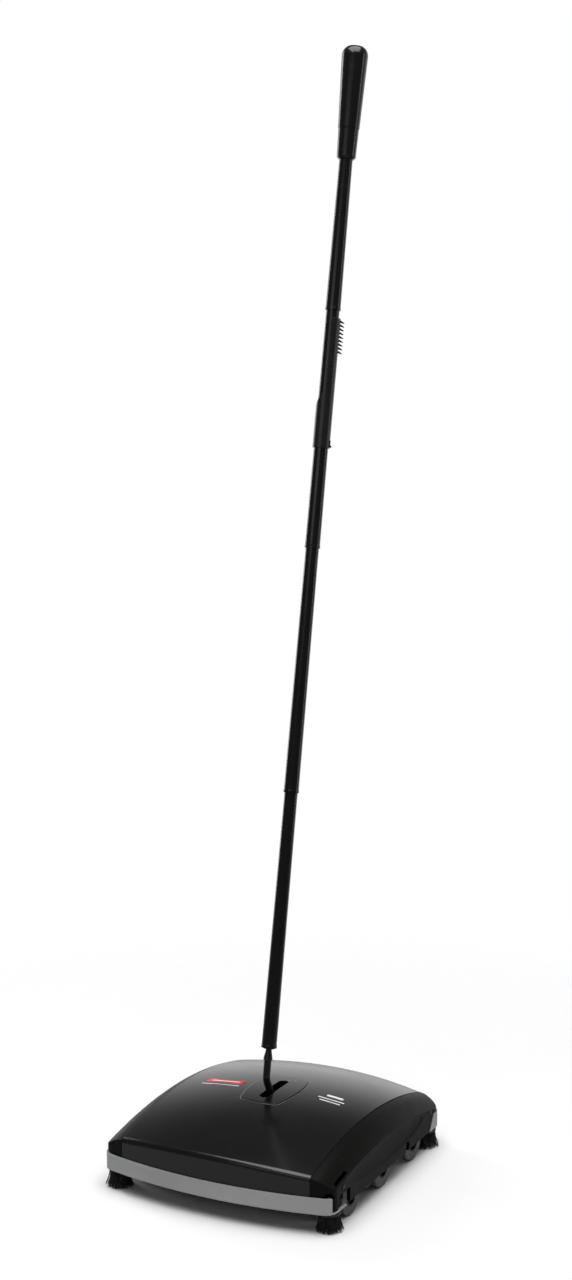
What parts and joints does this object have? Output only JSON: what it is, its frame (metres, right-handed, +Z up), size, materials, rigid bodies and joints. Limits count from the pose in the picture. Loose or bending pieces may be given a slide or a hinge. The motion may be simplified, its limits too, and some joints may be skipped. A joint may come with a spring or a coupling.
{
  "type": "carpet sweeper",
  "caption": "Cordless mechanical carpet sweeper: low arched head on friction-drive wheels with rotor and corner brushes, drop-down dust pans and a thin sectional handle with ribbed grip.",
  "frame": {"origin": "on the floor under the middle of the head", "axes": "+X to the sweeper's right, +Y to the rear, the way the handle leans, +Z up"},
  "size_m": [0.258, 0.3332, 1.1183],
  "materials": {
    "cover_gloss": "moulded, high gloss, near black",
    "cap_satin": "moulded, fine satin texture, black",
    "bumper_grey": "soft moulded strip, mid grey",
    "frame_black": "moulded, plain",
    "screw_steel": "zinc-plated",
    "spring_steel": "spring temper",
    "bush_white": "natural acetal",
    "rotor_core": "extruded",
    "rotor_bristle": "stiff nylon bristle",
    "rotor_blade": "flexible rubber blade",
    "pulley_rubber": "friction rim",
    "pan_black": "moulded, plain",
    "hub_black": "moulded",
    "tyre_grey": "smooth solid tyre, dark grey",
    "brush_hub": "moulded",
    "corner_bristle": "coarse black bristle",
    "rod_black": "black coated steel rod",
    "tube_black": "gloss black enamelled steel",
    "plug_black": "moulded",
    "grip_gloss": "moulded, glossy",
    "comb_black": "moulded, glossy"
  },
  "bodies": {
    "head": {"base_frame": "frame_black", "cap_screws": "screw_steel", "corner_brush_pins": "screw_steel", "cover_screws": "screw_steel", "friction_spring": "spring_steel", "front_bumper": "bumper_grey", "handle_pivot_pin": "screw_steel", "left_end_cap": "cap_satin", "pan_springs": "spring_steel", "rear_bumper": "bumper_grey", "right_end_cap": "cap_satin", "rotor_bushes": "bush_white", "slot_plate_left": "cover_gloss", "slot_plate_right": "cover_gloss", "top_cover": "cover_gloss", "wheel_axles": "screw_steel", "wheel_retainers": "screw_steel"},
    "wheel_front_right": {"wheel_hub_front_right": "hub_black", "tyre_front_right": "tyre_grey"},
    "wheel_front_left": {"wheel_hub_front_left": "hub_black", "tyre_front_left": "tyre_grey"},
    "wheel_middle_right": {"wheel_hub_middle_right": "hub_black", "tyre_middle_right": "tyre_grey"},
    "wheel_middle_left": {"wheel_hub_middle_left": "hub_black", "tyre_middle_left": "tyre_grey"},
    "wheel_rear_right": {"wheel_hub_rear_right": "hub_black", "tyre_rear_right": "tyre_grey"},
    "wheel_rear_left": {"wheel_hub_rear_left": "hub_black", "tyre_rear_left": "tyre_grey"},
    "front_rotor": {"front_rotor_shaft": "screw_steel", "front_rotor_core": "rotor_core", "front_rotor_bristles": "rotor_bristle", "front_rotor_pulleys": "pulley_rubber"},
    "rear_rotor": {"rear_rotor_shaft": "screw_steel", "rear_rotor_core": "rotor_core", "rear_rotor_blades": "rotor_blade", "rear_rotor_pulleys": "pulley_rubber"},
    "corner_brush_front_right": {"corner_hub_front_right": "brush_hub", "corner_bristles_front_right": "corner_bristle"},
    "corner_brush_front_left": {"corner_hub_front_left": "brush_hub", "corner_bristles_front_left": "corner_bristle"},
    "corner_brush_rear_right": {"corner_hub_rear_right": "brush_hub", "corner_bristles_rear_right": "corner_bristle"},
    "corner_brush_rear_left": {"corner_hub_rear_left": "brush_hub", "corner_bristles_rear_left": "corner_bristle"},
    "front_pan": {"front_dust_pan": "pan_black", "front_pan_pins": "screw_steel", "front_pan_lever": "pan_black"},
    "rear_pan": {"rear_dust_pan": "pan_black", "rear_pan_pins": "screw_steel", "rear_pan_lever": "pan_black"},
    "handle": {"handle_rod": "rod_black", "rod_ferrule": "rod_black", "tube_plug": "plug_black", "handle_tube_one": "tube_black", "handle_tube_two": "tube_black", "handle_tube_three": "tube_black", "handle_tube_four": "tube_black", "handle_grip": "grip_gloss"},
    "comb": {"cleaning_comb": "comb_black"}
  },
  "joints": [
    {"name": "front_rotor_spin", "type": "hinge", "parent": "head", "child": "front_rotor", "pos_m": [0, -0.037, 0.032], "axis": [1, 0, 0], "continuous": true},
    {"name": "rear_rotor_spin", "type": "hinge", "parent": "head", "child": "rear_rotor", "pos_m": [0, 0.037, 0.032], "axis": [1, 0, 0], "continuous": true},
    {"name": "wheel_front_right_spin", "type": "hinge", "parent": "head", "child": "wheel_front_right", "pos_m": [0.1159, -0.074, 0.02], "axis": [1, 0, 0], "continuous": true},
    {"name": "wheel_front_left_spin", "type": "hinge", "parent": "head", "child": "wheel_front_left", "pos_m": [-0.1159, -0.074, 0.02], "axis": [1, 0, 0], "continuous": true},
    {"name": "wheel_middle_right_spin", "type": "hinge", "parent": "head", "child": "wheel_middle_right", "pos_m": [0.1159, 0, 0.02], "axis": [1, 0, 0], "continuous": true},
    {"name": "wheel_middle_left_spin", "type": "hinge", "parent": "head", "child": "wheel_middle_left", "pos_m": [-0.1159, 0, 0.02], "axis": [1, 0, 0], "continuous": true},
    {"name": "wheel_rear_right_spin", "type": "hinge", "parent": "head", "child": "wheel_rear_right", "pos_m": [0.1159, 0.074, 0.02], "axis": [1, 0, 0], "continuous": true},
    {"name": "wheel_rear_left_spin", "type": "hinge", "parent": "head", "child": "wheel_rear_left", "pos_m": [-0.1159, 0.074, 0.02], "axis": [1, 0, 0], "continuous": true},
    {"name": "corner_brush_front_right_spin", "type": "hinge", "parent": "head", "child": "corner_brush_front_right", "pos_m": [0.116, -0.114, 0.01], "axis": [0, 0, 1], "continuous": true},
    {"name": "corner_brush_front_left_spin", "type": "hinge", "parent": "head", "child": "corner_brush_front_left", "pos_m": [-0.116, -0.114, 0.01], "axis": [0, 0, 1], "continuous": true},
    {"name": "corner_brush_rear_right_spin", "type": "hinge", "parent": "head", "child": "corner_brush_rear_right", "pos_m": [0.116, 0.114, 0.01], "axis": [0, 0, 1], "continuous": true},
    {"name": "corner_brush_rear_left_spin", "type": "hinge", "parent": "head", "child": "corner_brush_rear_left", "pos_m": [-0.116, 0.114, 0.01], "axis": [0, 0, 1], "continuous": true},
    {"name": "front_pan_drop", "type": "hinge", "parent": "head", "child": "front_pan", "pos_m": [0, -0.104, 0.0413], "axis": [1, 0, 0], "range_deg": [-35, 0], "stiffness_Nm_per_rad": 0.03, "springref_deg": 34.38},
    {"name": "rear_pan_drop", "type": "hinge", "parent": "head", "child": "rear_pan", "pos_m": [0, 0.104, 0.0413], "axis": [1, 0, 0], "range_deg": [0, 35], "stiffness_Nm_per_rad": 0.03, "springref_deg": -34.38},
    {"name": "handle_pivot", "type": "hinge", "parent": "head", "child": "handle", "pos_m": [0, 0.0032, 0.054], "axis": [1, 0, 0], "range_deg": [-55, 14]},
    {"name": "comb_slide", "type": "slide", "parent": "handle", "child": "comb", "axis": [0, -0.1908, -0.9816], "range_m": [0, 0.06]}
  ],
  "couplings": [
    {"joint": "rear_rotor_spin", "follows": "front_rotor_spin", "ratio": 1},
    {"joint": "wheel_front_right_spin", "follows": "front_rotor_spin", "ratio": -0.92987},
    {"joint": "wheel_front_left_spin", "follows": "front_rotor_spin", "ratio": -0.92987},
    {"joint": "wheel_middle_right_spin", "follows": "front_rotor_spin", "ratio": -0.92987},
    {"joint": "wheel_middle_left_spin", "follows": "front_rotor_spin", "ratio": -0.92987},
    {"joint": "wheel_rear_right_spin", "follows": "front_rotor_spin", "ratio": -0.92987},
    {"joint": "wheel_rear_left_spin", "follows": "front_rotor_spin", "ratio": -0.92987}
  ]
}
